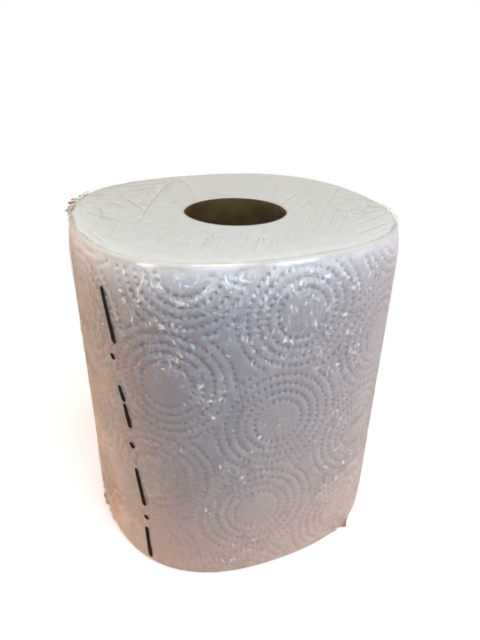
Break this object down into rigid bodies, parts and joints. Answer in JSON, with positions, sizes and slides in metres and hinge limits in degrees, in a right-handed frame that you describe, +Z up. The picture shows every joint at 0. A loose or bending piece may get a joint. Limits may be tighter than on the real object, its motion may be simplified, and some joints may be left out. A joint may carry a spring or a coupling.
{
  "type": "paper towel roll",
  "caption": "White embossed paper towel roll wound on a cardboard core, pressed slightly square, standing on its end and sealed in clear film with a broken printed line.",
  "frame": {"origin": "middle of the flat base that the wrapped roll stands on", "axes": "+Z up along the roll's core, -Y towards the side with the printed line at its left"},
  "size_m": [0.1974, 0.1874, 0.2014],
  "materials": {
    "paper": "soft embossed tissue",
    "cardboard": "plain spiral wound board",
    "film": "clear thin film",
    "ink": "printed line"
  },
  "bodies": {
    "root": {"paper_roll": "paper", "cardboard_core": "cardboard", "film_wrap": "film", "printed_line": "ink"}
  },
  "joints": []
}
